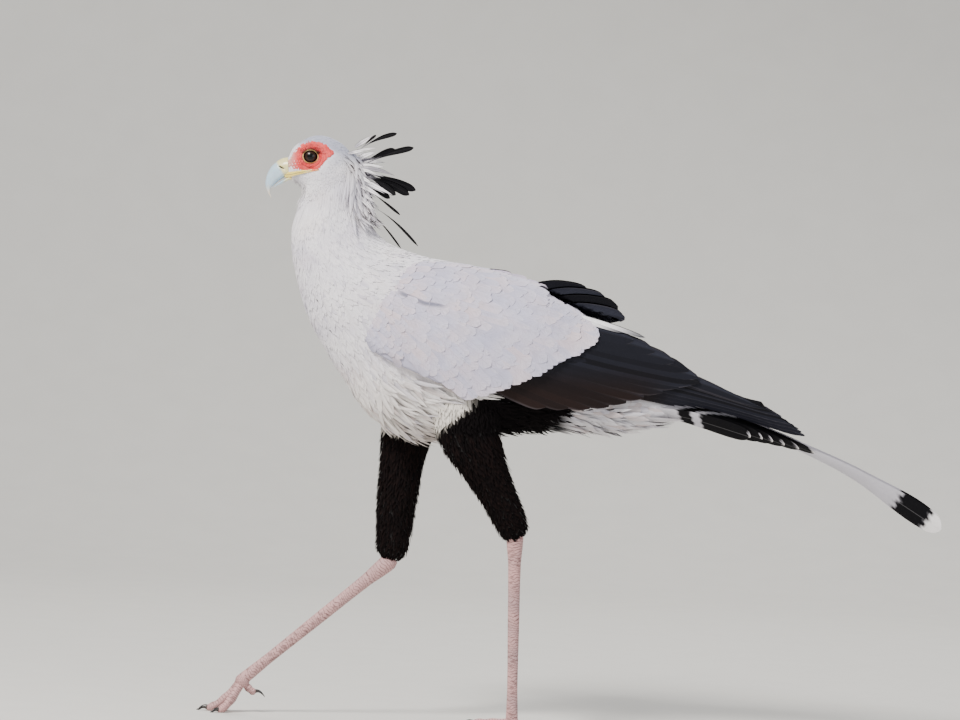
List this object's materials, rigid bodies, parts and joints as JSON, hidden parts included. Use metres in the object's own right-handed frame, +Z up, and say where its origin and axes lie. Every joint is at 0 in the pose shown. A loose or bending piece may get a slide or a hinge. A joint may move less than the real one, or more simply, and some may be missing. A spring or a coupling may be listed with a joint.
{
  "type": "secretary bird",
  "caption": "Still life-size secretary bird striding with one foot reaching forward, long tail and crest plumes out behind, for display on a floor.",
  "frame": {"origin": "on the floor, under the middle of the whole bird's box", "axes": "-X the way the bird faces, +Y its right side, +Z up"},
  "size_m": [1.1074, 0.1904, 0.8857],
  "materials": {
    "pale_plumage": "soft white and pale grey feathers, matt",
    "wing_plumage": "pale lavender-grey coverts over black flight feathers, satin",
    "tail_plumage": "pale grey feathers with black bands and white tips, satin",
    "black_plumage": "dense short black feathers, velvety",
    "bill_horn": "pale blue-grey horn with a yellow cere, satin",
    "eye": "dark brown, wet gloss",
    "leg_skin": "pinkish-grey small hexagonal scales, matt",
    "claw_horn": "dark horn, satin"
  },
  "bodies": {
    "root": {"head": "pale_plumage", "neck": "pale_plumage", "torso": "pale_plumage", "wing_left": "wing_plumage", "thigh_left": "black_plumage", "eye_left": "eye", "tarsus_left": "leg_skin", "foot_left": "leg_skin", "claw_left_inner": "claw_horn", "claw_left_middle": "claw_horn", "claw_left_outer": "claw_horn", "claw_left_hind": "claw_horn", "wing_right": "wing_plumage", "thigh_right": "black_plumage", "eye_right": "eye", "tarsus_right": "leg_skin", "foot_right": "leg_skin", "claw_right_inner": "claw_horn", "claw_right_middle": "claw_horn", "claw_right_outer": "claw_horn", "claw_right_hind": "claw_horn", "bill_upper": "bill_horn", "bill_lower": "bill_horn", "tail": "tail_plumage"}
  },
  "joints": []
}
